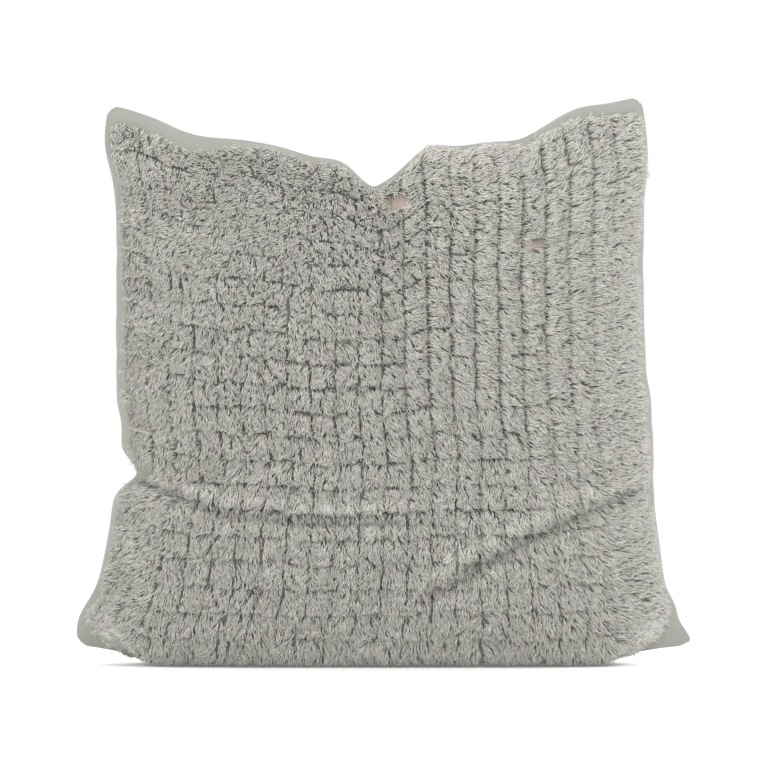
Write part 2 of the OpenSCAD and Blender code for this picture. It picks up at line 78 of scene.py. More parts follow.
# Flare of a side below the waist: its share of the wider bottom, height and curve
LEFT_FLARE, RIGHT_FLARE = (0.43, 0.42, 2), (0.41, 0.5, 1.2)
WAIST_SHIFT = 6  # to the left
LEAN, LEAN_START = 7, 0.6  # of the left side towards its top corner
SAG_CURVE = 1.3
DENT_U, DENT_FADE = 0.5, 6
DENT_LEFT, DENT_RIGHT = (0.05, 1.8), (0.085, 1.3)  # half width and curve of each side of the dent
FOLD_V, FOLD_HALF_W, FOLD_FADE = 0.322, 0.03, 8
STRETCH, STRETCH_HALF_W, STRETCH_FADE = 15, 0.05, 12  # of the right bottom corner
BLUNT, BLUNT_REACH = 3, 0.011  # how far the tips of the turned corners are drawn in
CROWN_CURVE, SIDE_CURVE = (2.4, 0.62), (3, 0.55)  # powers of the profiles upwards and across
THINNING, THIN_HALF_W, THIN_START = 0.3, 0.1, 0.6  # of the pillow below the dent
SINK_V = 0.04  # share of the cloth over which the back comes down to the ground


# ---- Shape


def ramp(t):
    c = np.clip(t, 0, 1)
    return c * c * (3 - 2 * c)


def hump(t, at, half_w):
    return np.exp(-(((t - at) / half_w) ** 2))


def mixed(a, b, share):
    return a * (1 - share) + b * share


def corner_share(u):
    return ramp((np.abs(2 * u - 1) - CORNER_START) / (1 - CORNER_START))


def waves(table, t):
    return sum(height * hump(t, at, half_w) for at, half_w, height in table)


def flare(shape, v):
    share, reach, curve = shape
    return (BOTTOM_SPAN - WAIST_SPAN) * share * np.maximum(0, 1 - v / reach) ** curve


def left_edge(v):
    lean = LEAN * np.maximum(0, (v - LEAN_START) / (1 - LEAN_START)) ** 2
    x = -WAIST_SPAN / 2 - WAIST_SHIFT - flare(LEFT_FLARE, v) - lean + waves(LEFT_WAVES, v)
    return x, mixed(CORNER_Z, CORNER_HEIGHT, v)


def right_edge(v):
    x = WAIST_SPAN / 2 - WAIST_SHIFT + flare(RIGHT_FLARE, v) + waves(RIGHT_WAVES, v)
    return x, mixed(CORNER_Z, CORNER_HEIGHT + CORNER_RISE, v)


def dent_share(u):
    half_w, curve = (np.where(u < DENT_U, left, right) for left, right in zip(DENT_LEFT, DENT_RIGHT))
    return np.exp(-((np.abs(u - DENT_U) / half_w) ** curve))


def blunt_corner(u, v):
    """The sewn corners are turned, so their tips are round."""
    near_u, near_v = np.minimum(u, 1 - u), np.minimum(v, 1 - v)
    pull = BLUNT * np.exp(-((near_u**2 + near_v**2) / BLUNT_REACH**2))
    return pull * np.sign(0.5 - u), pull * np.sign(0.5 - v)


def outline(u, v):
    """Four edge curves, blended over the middle plane, with the dent and folds."""
    (left_x, left_z), (right_x, right_z) = left_edge(v), right_edge(v)
    (x00, z00), (x10, z10) = left_edge(0.0), right_edge(0.0)
    (x01, z01), (x11, z11) = left_edge(1.0), right_edge(1.0)
    bottom_z = mixed(FOOT_Z, CORNER_Z, corner_share(u))
    top_z = mixed(z01, z11, u) - TOP_SAG * np.maximum(0, 4 * u * (1 - u)) ** SAG_CURVE + waves(TOP_WAVES, u)
    x = mixed(mixed(x00, x10, u), mixed(x01, x11, u), v) + mixed(left_x, right_x, u)
    x -= mixed(mixed(x00, x01, v), mixed(x10, x11, v), u)
    z = mixed(bottom_z, top_z, v) + mixed(left_z, right_z, u)
    z -= mixed(mixed(z00, z01, v), mixed(z10, z11, v), u)
    x += FOLD_DEPTH * hump(v, FOLD_V, FOLD_HALF_W) * (1 - u) ** FOLD_FADE
    x += STRETCH * hump(v, 0, STRETCH_HALF_W) * u**STRETCH_FADE
    z -= DENT_DEPTH * dent_share(u) * v**DENT_FADE
    pull_x, pull_z = blunt_corner(u, v)
    return x + pull_x, z + pull_z


def rise(v):
    """Depth from the bottom seam to the top seam, as a share of the fullest."""
    foot = REST_DEPTH / FULLNESS
    below = np.clip((FULL_V - v) / (FULL_V - FOOT_V), 0, 1)
    above = np.clip((v - FULL_V) / (1 - FULL_V), 0, 1)
    lower = mixed(foot, 1, np.sqrt(1 - below**2))
    upper = (1 - above ** CROWN_CURVE[0]) ** CROWN_CURVE[1]
    return np.where(v < FOOT_V, foot * v / FOOT_V, np.where(v < FULL_V, lower, upper))


def bulge(u, v):
    spread = np.maximum(0, 1 - np.abs(2 * u - 1) ** SIDE_CURVE[0]) ** SIDE_CURVE[1]
    thinned = THINNING * hump(u, DENT_U, THIN_HALF_W) * ramp((v - THIN_START) / (1 - THIN_START))
    return FULLNESS * rise(v) * spread * (1 - thinned)


def band_share(x, z):
    """1 on the flat band that holds the zipper, and 0 away from it."""
    along = ramp((BAND_HALF_L + BAND_SPARE + BAND_FADE_L - np.abs(x)) / BAND_FADE_L)
    return along * ramp((BAND_HALF_H + BAND_FADE_H - np.abs(z - ZIPPER_Z)) / BAND_FADE_H)


def base_skin(side, u, v):
    c = corner_share(u)
    x, z = outline(u, c * v + (1 - c) * np.maximum(0, v - FOOT_V) / (1 - FOOT_V))
    y = bulge(u, v)
    if side == BACK:
        share = band_share(x, z)
        y = mixed(y, BAND_Y, share)
        z = z - FOOT_Z * ramp(v / SINK_V) * (1 - c) * np.clip(2 - v / FOOT_V, 0, 1)
    return np.stack([x, SEAM_Y + side * y, z], -1)


def rim(u, v, inset):
    """A point of the seam line, moved in by inset."""
    scale = 1 - 2 * inset / COVER
    x, z = outline(inset / COVER + u * scale, inset / COVER + v * scale)
    return np.stack([x, np.full_like(x, SEAM_Y), z], -1)


def on_rim(u, v):
    return (u <= 0) | (u >= 1) | (v <= 0) | (v >= 1)


def from_rim(u, v):
    return np.minimum(np.minimum(u, 1 - u), np.minimum(v, 1 - v))


def grid(us, vs):
    return np.meshgrid(us, vs, indexing="ij")


# ---- Meshes


def add_object(name, data):
    obj = bpy.data.objects.new(name, data)
    bpy.context.scene.collection.objects.link(obj)
    return obj


def make_mesh(name, points, faces, material):
    """faces holds arrays of quads and of triangles."""
    mesh = bpy.data.meshes.new(name)
    sizes = np.concatenate([np.full(len(f), f.shape[1]) for f in faces])
    corners = np.concatenate([f.ravel() for f in faces])
    mesh.vertices.add(len(points))
    mesh.vertices.foreach_set("co", (points * MM).astype(np.float32).ravel())
    mesh.loops.add(len(corners))
    mesh.loops.foreach_set("vertex_index", corners.astype(np.int32))
    mesh.polygons.add(len(sizes))
    mesh.polygons.foreach_set("loop_start", (np.cumsum(sizes) - sizes).astype(np.int32))
    mesh.polygons.foreach_set("use_smooth", np.full(len(sizes), True))
    mesh.update(calc_edges=True)
    if material:
        mesh.materials.append(material)
    return add_object(name, mesh)


def add_values(obj, name, values):
    made = obj.data.attributes.new(name, "FLOAT", "POINT")
    made.data.foreach_set("value", values.astype(np.float32).ravel())


def add_cloth_place(obj, u, v):
    """Each point's place in the flat cloth, for its weave."""
    flat = np.stack([u, v, np.zeros_like(u)], -1) * COVER * MM
    made = obj.data.attributes.new("cloth", "FLOAT_VECTOR", "POINT")
    made.data.foreach_set("vector", flat.astype(np.float32).ravel())


def grid_faces(nu, nv, base=0):
    """They face the front when u runs to the right and v upwards."""
    i, j = grid(np.arange(nu - 1), np.arange(nv - 1))
    a = (base + i * nv + j).ravel()
    return np.stack([a, a + nv, a + nv + 1, a + 1], -1)


def edge_loop(nu, nv):
    bottom, right = np.arange(nu - 1) * nv, (nu - 1) * nv + np.arange(nv - 1)
    top, left = np.arange(nu - 1, 0, -1) * nv + nv - 1, np.arange(nv - 1, 0, -1)
    return np.r_[bottom, right, top, left]


def slab(name, side, outer, inner, material, u, v):
    """A closed layer between two grids of points."""
    nu, nv = outer.shape[:2]
    n = nu * nv
    loop = edge_loop(nu, nv)
    after = np.roll(loop, -1)
    faces = np.concatenate(
        [
            grid_faces(nu, nv),
            grid_faces(nu, nv, n)[:, ::-1],
            np.stack([loop + n, after + n, after, loop], -1),
        ]
    )
    if side == BACK:
        faces = faces[:, ::-1]
    obj = make_mesh(name, np.r_[outer.reshape(n, 3), inner.reshape(n, 3)], [faces], material)
    add_cloth_place(obj, np.stack([u, u]), np.stack([v, v]))
    return obj


INNER = (slice(1, -1), slice(1, -1))


def closed_skin(front, back):
    """Points and quads of a surface whose sides share their rim, and the index of each back point."""
    n = len(front)
    index_back = np.arange(n * n).reshape(n, n)
    index_back[INNER] = n * n + np.arange((n - 2) ** 2).reshape(n - 2, n - 2)
    index_back = index_back.ravel()
    quads = grid_faces(n, n)
    points = np.r_[front.reshape(-1, 3), back[INNER].reshape(-1, 3)]
    return points, np.r_[quads, index_back[quads][:, ::-1]], index_back


def tubes(centres, across, radii, sides):
    """Closed tubes along rows of centres, pointed at the last. across is a unit vector beside each tube.
    Returns points, quads, triangles and each point's share of the way along."""
    n, rings = centres.shape[0], centres.shape[1] - 1
    along = np.gradient(centres, axis=1)
    along /= np.linalg.norm(along, axis=2, keepdims=True)
    side = across[:, None, :] - along * np.sum(across[:, None, :] * along, axis=2, keepdims=True)
    side /= np.linalg.norm(side, axis=2, keepdims=True)
    up = np.cross(along, side)
    turn = 2 * np.pi * np.arange(sides) / sides
    cos, sin = np.cos(turn)[:, None], np.sin(turn)[:, None]
    spokes = side[:, :rings, None, :] * cos + up[:, :rings, None, :] * sin
    walls = centres[:, :rings, None, :] + spokes * radii[:, :rings, None, None]
    points = np.concatenate([walls.reshape(n, -1, 3), centres[:, -1:, :]], axis=1)
    each = rings * sides + 1
    m = np.arange(sides)
    a = (np.arange(rings - 1)[:, None] * sides + m).ravel()
    b = (np.arange(rings - 1)[:, None] * sides + (m + 1) % sides).ravel()
    quad = np.stack([a, b, b + sides, a + sides], -1)
    last = (rings - 1) * sides
    tip = np.stack([last + m, last + (m + 1) % sides, np.full(sides, each - 1)], -1)
    root = np.stack([np.zeros(sides - 2, int), m[2:], m[1:-1]], -1)
    start = (np.arange(n) * each)[:, None, None]
    quads = (start + quad[None]).reshape(-1, 4)
    tris = (start + np.r_[tip, root][None]).reshape(-1, 3)
    share = np.r_[np.repeat(np.arange(rings) / rings, sides), 1.0]
    return points.reshape(-1, 3), quads, tris, np.tile(share, n)


# ---- Materials


class Look:
    def __init__(self, name, **values):
        self.material = bpy.data.materials.new(name)
        self.material.use_nodes = True
        self.tree = self.material.node_tree
        self.shader = self.tree.nodes["Principled BSDF"]
        for socket, value in values.items():
            self.shader.inputs[socket.replace("_", " ")].default_value = value

    def put(self, socket, value):
        if isinstance(value, bpy.types.NodeSocket):
            self.tree.links.new(value, socket)
        else:
            socket.default_value = value

    def node(self, kind, out, inputs, **props):
        made = self.tree.nodes.new(kind)
        for key, value in props.items():
            setattr(made, key, value)
        for key, value in inputs.items():
            self.put(made.inputs[key], value)
        return made.outputs[out]

    def math(self, op, a, b=0.0):
        return self.node("ShaderNodeMath", 0, {0: a, 1: b}, operation=op)

    def add(self, a, b):
        return self.math("ADD", a, b)

    def times(self, a, b):
        return self.math("MULTIPLY", a, b)

    def wave(self, a):
        return self.math("SINE", a)

    def size(self, a):
        return self.math("ABSOLUTE", a)

    def value(self, name, out="Fac"):
        return self.node("ShaderNodeAttribute", out, {}, attribute_name=name)

    def place(self):
        return self.node("ShaderNodeTexCoord", "Object", {})

    def stretched(self, where, *scale):
        return self.node("ShaderNodeMapping", 0, {0: where, 3: scale})

    def noise(self, where, scale, detail=2.0):
        return self.node("ShaderNodeTexNoise", 0, {"Vector": where, "Scale": scale, "Detail": detail})

    def split(self, vector):
        made = self.tree.nodes.new("ShaderNodeSeparateXYZ")
        self.put(made.inputs[0], vector)
        return tuple(made.outputs)

    def colours(self, factor, stops):
        made = self.tree.nodes.new("ShaderNodeValToRGB")
        self.put(made.inputs[0], factor)
        ramp_stops = made.color_ramp.elements
        while len(ramp_stops) < len(stops):
            ramp_stops.new(0.5)
        for stop, (at, colour) in zip(ramp_stops, stops):
            stop.position = at
            stop.color = (*colour, 1)
        return made.outputs[0]

    def blend(self, factor, a, b, how="MIX"):
        a, b = ((*colour, 1) if isinstance(colour, tuple) else colour for colour in (a, b))
        return self.node("ShaderNodeMix", 2, {0: factor, 6: a, 7: b}, data_type="RGBA", blend_type=how)

    def spread(self, value, low, high):
        return self.node("ShaderNodeMapRange", 0, {0: value, 3: low, 4: high})

    def bump(self, height, distance, strength=1.0):
        return self.node("ShaderNodeBump", 0, {"Height": height, "Distance": distance, "Strength": strength})

    def finish(self, colour=None, roughness=None, normal=None):
        for socket, value in (("Base Color", colour), ("Roughness", roughness), ("Normal", normal)):
            if value is not None:
                self.put(self.shader.inputs[socket], value)
        return self.material


def srgb(r, g, b):
    """A shader's colour from screen values of 0 to 255."""
    shares = (r / 255, g / 255, b / 255)
    return tuple(c / 12.92 if c <= 0.04045 else ((c + 0.055) / 1.055) ** 2.4 for c in shares)


def weave_height(look, across, up, pitch):
    """A plain weave: each thread goes over one crossing and under the next."""
    sin_a, sin_b = (look.wave(look.times(way, math.pi / pitch)) for way in (across, up))
    over = look.times(look.times(sin_a, sin_b), 0.5)
    warp = look.times(look.size(sin_a), look.add(over, 0.6))
    weft = look.times(look.size(sin_b), look.math("SUBTRACT", 0.6, over))
    return look.math("MAXIMUM", warp, weft)


SLUB_SCALE = (40, 1400, 1)  # long along a thread and short across it


def cloth_look(name, light, dark, pitch, relief, warm=None):
    """Plain woven cotton with uneven threads, in the colours of their tops, of the painted shade in their
    gaps, and of warm places.
    """
    look = Look(name, Sheen_Weight=0.25, Sheen_Roughness=0.5, Specular_IOR_Level=0.2)
    where = look.value("cloth", "Vector")
    across, up, _ = look.split(where)
    height = weave_height(look, across, up, pitch)
    slub_across = look.noise(look.stretched(where, *SLUB_SCALE), 1.0)
    slub_up = look.noise(look.stretched(where, SLUB_SCALE[1], SLUB_SCALE[0], 1), 1.0)
    slubs = look.add(slub_across, slub_up)
    patches = look.noise(where, 18.0, 4.0)
    tone = look.add(look.spread(height, 0.1, 0.75), look.spread(slubs, -0.35, 0.35))
    tone = look.add(tone, look.spread(patches, -0.2, 0.2))
    # The low places of the weave take the dark colour, which is painted shade between the threads; darker
    # slubs and patches also take it.
    colour = look.colours(tone, [(0.0, dark), (0.85, light)])
    if warm is not None:
        colour = look.blend(look.times(look.value("warmth"), 0.85), colour, warm)
    lint = look.noise(look.place(), 1800.0)
    relief_height = look.add(height, look.times(lint, 0.5))
    return look.finish(colour, look.spread(slubs, 0.8, 0.98), look.bump(relief_height, relief))


def pile_look():
    """Matt cotton yarn with a tint for each tuft and a tone for each strand."""
    look = Look("pile_yarn", Roughness=0.92, Sheen_Weight=0.3, Sheen_Roughness=0.6, Specular_IOR_Level=0.1)
    along, tone, tint = look.value("along"), look.value("tone"), look.value("tint")
    fibres = look.noise(look.place(), 900.0, 3.0)
    lift = look.add(along, look.spread(fibres, -0.25, 0.25))
    # Along each strand the root is painted a little lighter than the tip: painted light that lifts the shade
    # deep in the pile.
    body = look.colours(lift, [(0.0, PILE_ROOT), (0.35, PILE_MIDDLE), (0.95, PILE_TIP)])
    tints = look.colours(tint, [(k / 4, srgb(*rgb)) for k, rgb in enumerate(PILE_TINTS)])
    tinted = look.blend(1.0, body, tints, "MULTIPLY")
    shade = look.spread(tone, 0.89, 1.05)
    grey = look.node("ShaderNodeCombineXYZ", 0, {0: shade, 1: shade, 2: shade})
    return look.finish(look.blend(1.0, tinted, grey, "MULTIPLY"))


def thread_look(name, colour, ply_groove_shade, twist):
    look = Look(name, Sheen_Weight=0.3, Sheen_Roughness=0.4, Specular_IOR_Level=0.3)
    x, y, z = look.split(look.place())
    across = look.times(look.add(y, z), twist)
    phase = look.add(look.times(x, twist), across)
    # The grooves between the twisted plies take the second colour, which is painted shade.
    ply = look.size(look.wave(phase))
    return look.finish(
        look.blend(ply, ply_groove_shade, colour), look.spread(ply, 0.85, 0.55), look.bump(ply, 0.0001)
    )


def nylon_look(name, colour, shade):
    look = Look(name, Coat_Weight=0.15, Coat_Roughness=0.35, IOR=1.53)
    mottle = look.noise(look.place(), 420.0, 3.0)
    scuffs = look.noise(look.place(), 2600.0, 2.0)
    return look.finish(
        look.blend(mottle, shade, colour), look.spread(mottle, 0.3, 0.5), look.bump(scuffs, 0.00003)
    )


def metal_look(name, colour, worn):
    """Die-cast metal, brighter where it is rubbed, with fine scratches."""
    look = Look(name, Metallic=1.0)
    where = look.place()
    rubbed = look.noise(where, 240.0, 4.0)
    scratches = look.noise(look.stretched(where, 1, 14, 14), 700.0, 3.0)
    colour = look.blend(rubbed, colour, worn)
    return look.finish(colour, look.spread(scratches, 0.24, 0.5), look.bump(scratches, 0.00004))


def fleece_look(name, light, dark, scale):
    look = Look(name, Sheen_Weight=0.3, Sheen_Roughness=0.5, Specular_IOR_Level=0.15)
    where = look.place()
    fibres = look.noise(look.stretched(where, 1, 1, 6), scale, 5.0)
    cells = look.node("ShaderNodeTexVoronoi", 0, {"Vector": where, "Scale": scale * 0.6})
    height = look.add(fibres, look.times(cells, 0.4))
    return look.finish(
        look.blend(height, dark, light), look.spread(fibres, 0.85, 1.0), look.bump(height, 0.0004)
    )


# The root colour is a little lighter than the tip's: painted light in the shade at the foot of the strands.
PILE_ROOT = srgb(219, 217, 209)
PILE_MIDDLE = srgb(217, 216, 209)
PILE_TIP = srgb(215, 215, 208)
PILE_TINTS = [(254, 251, 244), (252, 253, 252), (251, 252, 250), (254, 250, 250), (249, 251, 254)]

pile = pile_look()
# Each cloth's second colour is painted shade in the gaps of its weave, and also the colour of its darker
# slubs.
ground_cloth = cloth_look(
    "ground_canvas", srgb(158, 158, 151), srgb(127, 126, 120), 0.0011, 0.00018, srgb(190, 172, 161)
)
back_cloth = cloth_look("back_canvas", srgb(184, 182, 172), srgb(142, 139, 130), 0.0009, 0.00016)
tape_cloth = cloth_look("zipper_tape_weave", srgb(203, 199, 188), srgb(158, 154, 143), 0.0006, 0.0001)
label_cloth = cloth_look("label_weave", srgb(238, 237, 231), srgb(206, 204, 198), 0.0004, 0.00005)
# The thread's second colour is painted shade in the grooves between its plies.
thread = thread_look("sewing_thread", srgb(206, 202, 192), srgb(140, 136, 126), 4200.0)
coil_nylon = nylon_look("coil_nylon", srgb(196, 192, 181), srgb(166, 162, 151))
metal = metal_look("zipper_nickel", srgb(150, 147, 141), srgb(205, 202, 196))
shell_fleece = fleece_look("insert_fleece", srgb(240, 239, 235), srgb(214, 213, 208), 260.0)
fill_fibre = fleece_look("fill_fibre", srgb(246, 246, 244), srgb(216, 216, 213), 120.0)


# ---- Wrinkles: a cloth simulation of the cover, kept as a displacement of the skin

SIM_POINTS = 85
SIM_FRAMES = 20
SIM_PRESSURE = 4.0
SIM_BAND_HELD = 0.02  # band share from which the back is held
SIM_SLACK = 0.045  # how much too long the cloth is
MOVE_CAP = 5.0  # millimetres


def simulated_cover():
    """How far a closed cover moves whose cloth is too big for it, when it is blown up."""
    n = SIM_POINTS
    t = np.linspace(0, 1, n)
    u, v = grid(t, t)
    back = base_skin(BACK, u, v)
    points, faces, index_back = closed_skin(base_skin(FRONT, u, v), back)
    obj = make_mesh("cover_sim", points, [faces], None)
    pins = obj.vertex_groups.new(name="pins")
    held_front = on_rim(u, v) | (v < FOOT_V)
    held_back = held_front | (band_share(back[..., 0], back[..., 2]) > SIM_BAND_HELD)
    held = np.r_[held_front.ravel(), held_back[INNER].ravel()]
    pins.add([int(i) for i in np.flatnonzero(held)], 1.0, "REPLACE")
    cloth = obj.modifiers.new("Cloth", "CLOTH")
    s = cloth.settings
    s.quality = 6
    s.mass = 0.2
    s.tension_stiffness = s.compression_stiffness = 12
    s.shear_stiffness = 4
    s.bending_stiffness = 1.0
    s.shrink_min = s.shrink_max = -SIM_SLACK
    s.use_pressure = True
    s.uniform_pressure_force = SIM_PRESSURE
    s.vertex_group_mass = "pins"
    s.effector_weights.gravity = 0
    cloth.point_cache.frame_end = SIM_FRAMES
    cloth.collision_settings.use_collision = False
    scene = bpy.context.scene
    for at_frame in range(1, SIM_FRAMES + 1):
        scene.frame_set(at_frame)
    done = obj.evaluated_get(bpy.context.evaluated_depsgraph_get()).to_mesh()
    moved = np.empty(len(points) * 3, np.float32)
    done.vertices.foreach_get("co", moved)
    moved = moved.reshape(-1, 3) / MM - points
    scene.frame_set(1)
    bpy.data.objects.remove(obj)
    return moved[: n * n].reshape(n, n, 3), moved[index_back].reshape(n, n, 3)


FINE_PASSES, WIDE_PASSES = 2, 40


def smoothed(field, passes):
    for _ in range(passes):
        wide = np.pad(field, ((1, 1), (1, 1), (0, 0)), "edge")
        field = (wide[2:, 1:-1] + wide[:-2, 1:-1] + wide[1:-1, 2:] + wide[1:-1, :-2] + 2 * field) / 6
    return field


def wrinkles_only(moved):
    """Takes out the swelling, since the size is the CAD part's."""
    fine = smoothed(moved, FINE_PASSES)
    fine = fine - smoothed(fine, WIDE_PASSES)
    size = np.linalg.norm(fine, axis=2, keepdims=True)
    return fine * np.minimum(1, MOVE_CAP / np.maximum(size, 1e-6))


def sampled(field, u, v):
    """A field on an even grid, at any u and v."""
    n = field.shape[0] - 1
    a, b = np.clip(u, 0, 1) * n, np.clip(v, 0, 1) * n
    i, j = np.minimum(a.astype(int), n - 1), np.minimum(b.astype(int), n - 1)
    s, t = ramp(a - i)[..., None], ramp(b - j)[..., None]
    low, high = (mixed(field[i, row], field[i + 1, row], s) for row in (j, j + 1))
    return mixed(low, high, t)


sim_front, sim_back = simulated_cover()
wrinkles = {FRONT: wrinkles_only(sim_front), BACK: wrinkles_only(sim_back)}

# ---- Creases

# Places that a crease runs through, its depth, its half width and how far its upper side hangs over
CREASES = [
    ([(-222, 170), (-199, 158), (-128, 131), (-61, 125), (6, 125), (75, 120)], 5.0, 7.0, 1.0),
    ([(12, 54), (87, 99), (141, 127), (180, 142), (240, 154)], 7.5, 8.5, 1.0),
    ([(2, 400), (4, 320), (3, 240), (1, 170)], 3.0, 12.0, 0.0),
    ([(-215, 395), (-150, 372), (-90, 362)], 3.0, 12.0, 0.6),
    ([(70, 372), (120, 352), (175, 350)], 3.5, 12.0, 0.6),
]
CREASE_FADE = (0.2, 0.3)  # shares of the crease over which it starts and ends
LEDGE_GAIN = 2.3  # makes a ledge as deep as a plain crease
PUCKER_START, PUCKER_REACH, PUCKER_DEPTH = 4, 14, 0.7  # of the waves beside the seam, in millimetres


def along_path(x, z, path):
    """Distance from a path, positive above it, and the share of the way along."""
    path = np.array(path, float)
    steps = np.linalg.norm(np.diff(path, axis=0), axis=1)
    run = 0.0
    nearest, signed, shares = np.full_like(x, 1e9), np.zeros_like(x), np.zeros_like(x)
    for (x0, z0), (x1, z1), step in zip(path[:-1], path[1:], steps):
        t = np.clip(((x - x0) * (x1 - x0) + (z - z0) * (z1 - z0)) / step**2, 0, 1)
        off_x, off_z = x - x0 - t * (x1 - x0), z - z0 - t * (z1 - z0)
        away = np.hypot(off_x, off_z)
        closer = away < nearest
        above = np.sign(off_z * (x1 - x0) - off_x * (z1 - z0))
        nearest = np.where(closer, away, nearest)
        signed = np.where(closer, away * above, signed)
        shares = np.where(closer, (run + t * step) / steps.sum(), shares)
        run += step
    return signed, shares


def crease_depth(x, z, path, depth, half_w, ledge):
    """With a ledge of 1 the cloth above the crease hangs over the cloth below it."""
    signed, share = along_path(x, z, path)
    d = signed / half_w
    fade = ramp(share / CREASE_FADE[0]) * ramp((1 - share) / CREASE_FADE[1])
    fold = -LEDGE_GAIN * d * np.exp(-(d**2))
    return depth * fade * mixed(np.exp(-(d**2)), fold, ledge)


def seam_puckers(u, v):
    from_side, from_end = np.minimum(u, 1 - u) * COVER, np.minimum(v, 1 - v) * COVER
    near_side, near_end = np.exp(-from_side / PUCKER_REACH), np.exp(-from_end / PUCKER_REACH)
    wave_v = np.sin(v * COVER / 2.9 + 2 * np.sin(v * 31)) * ramp(from_side / PUCKER_START)
    wave_u = np.sin(u * COVER / 3.1 + 2 * np.sin(u * 27)) * ramp(from_end / PUCKER_START)
    return PUCKER_DEPTH * (wave_v * near_side * (1 - near_end) + wave_u * near_end * (1 - near_side))


def unit(vectors):
    return vectors / np.maximum(np.linalg.norm(vectors, axis=-1, keepdims=True), 1e-9)


STEP = 0.002  # share of the cloth over which its slope is taken
# Where wrinkles and creases start: beside the seam, above the foot and around the zipper
RIM_FADE, FOOT_FADE, BAND_HELD = 0.008, 0.08, 0.125


def slopes(shape, side, u, v):
    """Unit vectors along u and v and out of the cloth."""
    du = shape(side, np.clip(u + STEP, 0, 1), v) - shape(side, np.clip(u - STEP, 0, 1), v)
    dv = shape(side, u, np.clip(v + STEP, 0, 1)) - shape(side, u, np.clip(v - STEP, 0, 1))
    return unit(du), unit(dv), unit(np.cross(dv, du) * side)


def skin(side, u, v):
    p = base_skin(side, u, v)
    out = slopes(base_skin, side, u, v)[2]
    free = ramp((v - FOOT_V) / FOOT_FADE)
    if side == BACK:
        free = free * (1 - ramp(band_share(p[..., 0], p[..., 2]) / BAND_HELD))
    depth = -seam_puckers(u, v)
    if side == FRONT:
        for crease in CREASES:
            depth = depth + crease_depth(p[..., 0], p[..., 2], *crease)
    inside = ramp(from_rim(u, v) / RIM_FADE)
    return p + (sampled(wrinkles[side], u, v) - depth[..., None] * out * inside[..., None]) * free[..., None]


def layer(side, u, v, depth, rim_inset, floor_z):
    """Points at a depth below the skin, or in the middle plane on the rim."""
    p = skin(side, u, v) - depth * slopes(skin, side, u, v)[2]
    p[..., 2] = np.maximum(p[..., 2], floor_z)
    return np.where(on_rim(u, v)[..., None], rim(u, v, rim_inset), p)


def rounded_edge(side, u, v, points, t):
    """Rounds the cloth's edge, so that the two cloths meet in a fold of thickness t."""
    share = np.clip(from_rim(u, v) * COVER / t, 0, 1)
    least = t * np.sqrt(1 - (1 - share) ** 2)
    y = points[..., 1]
    points[..., 1] = np.where(side * (y - SEAM_Y) < least, SEAM_Y + side * least, y)
    return points


def near_seam(count):
    """Shares from 0 to 1, closer together at both ends."""
    fine = np.array([0, 0.5, 1.2, 2.4]) / COVER
    return np.r_[fine, np.linspace(5 / COVER, 1 - 5 / COVER, count), 1 - fine[::-1]]


# ---- Cover: ground cloth, back panels, seam allowance

FRONT_COUNT, UPPER_COUNT, LOWER_COUNT = 190, 150, 52
OPENING_TAPER = 3  # length of the opening's pointed ends
HEM_W, HEM_T, STITCH_IN = 7, 0.45, 3  # of the hem along the opening, and its stitches' distance from it
WAY_NAMES = {1: "upper", -1: "lower"}  # the two sides of the zipper
RING_SIDES = 12
# Where the ground cloth shows between the strands: x, z, half width, half height, warmth of its colour
BARE_SPOTS = [
    (10, 374, 13, 6, 1.0),
    (-195, 158, 13, 8, 0.15),
    (118, 340, 9, 4, 0.8),
    (150, 402, 9, 3, 0.8),
    (-35, 262, 6, 4, 0.4),
]


def from_spot(x, z, at_x, at_z, half_w, half_h):
    return np.hypot((x - at_x) / half_w, (z - at_z) / half_h)


def make_front():
    u, v = grid(near_seam(FRONT_COUNT), near_seam(FRONT_COUNT))
    outer = rounded_edge(FRONT, u, v, layer(FRONT, u, v, 0, 0, FOOT_Z), GROUND_T)
    inner = layer(FRONT, u, v, GROUND_T, GROUND_T, FOOT_Z + GROUND_T)
    obj = slab("front_canvas", FRONT, outer, inner, ground_cloth, u, v)
    warmth = np.zeros(outer.shape[:2])
    for *spot, warm in BARE_SPOTS:
        warmth = np.maximum(warmth, warm * ramp(2 - from_spot(outer[..., 0], outer[..., 2], *spot)))
    add_values(obj, "warmth", np.stack([warmth, warmth]))
    return obj


def v_at(u, z):
    """Value of v where the back cloth is at height z, for each u."""
    vs = np.linspace(0, 1, 1201)
    heights = np.maximum.accumulate(base_skin(BACK, *grid(u, vs))[..., 2], 1)
    return np.array([np.interp(at, row, vs) for at, row in zip(np.broadcast_to(z, u.shape), heights)])


def along_zipper(u):
    return base_skin(BACK, u, v_at(u, ZIPPER_Z))[..., 0]


def panel_lines():
    """Values of u for the back panels, close together where the opening ends."""
    us = np.unique(np.r_[near_seam(UPPER_COUNT), np.linspace(0, 1, 181)])
    opening_end = np.linspace(OPENING_HALF - OPENING_TAPER, OPENING_HALF, OPENING_TAPER + 1)
    cuts = np.interp(np.r_[-opening_end[::-1], opening_end], along_zipper(us), us)
    return np.unique(np.r_[us, cuts])


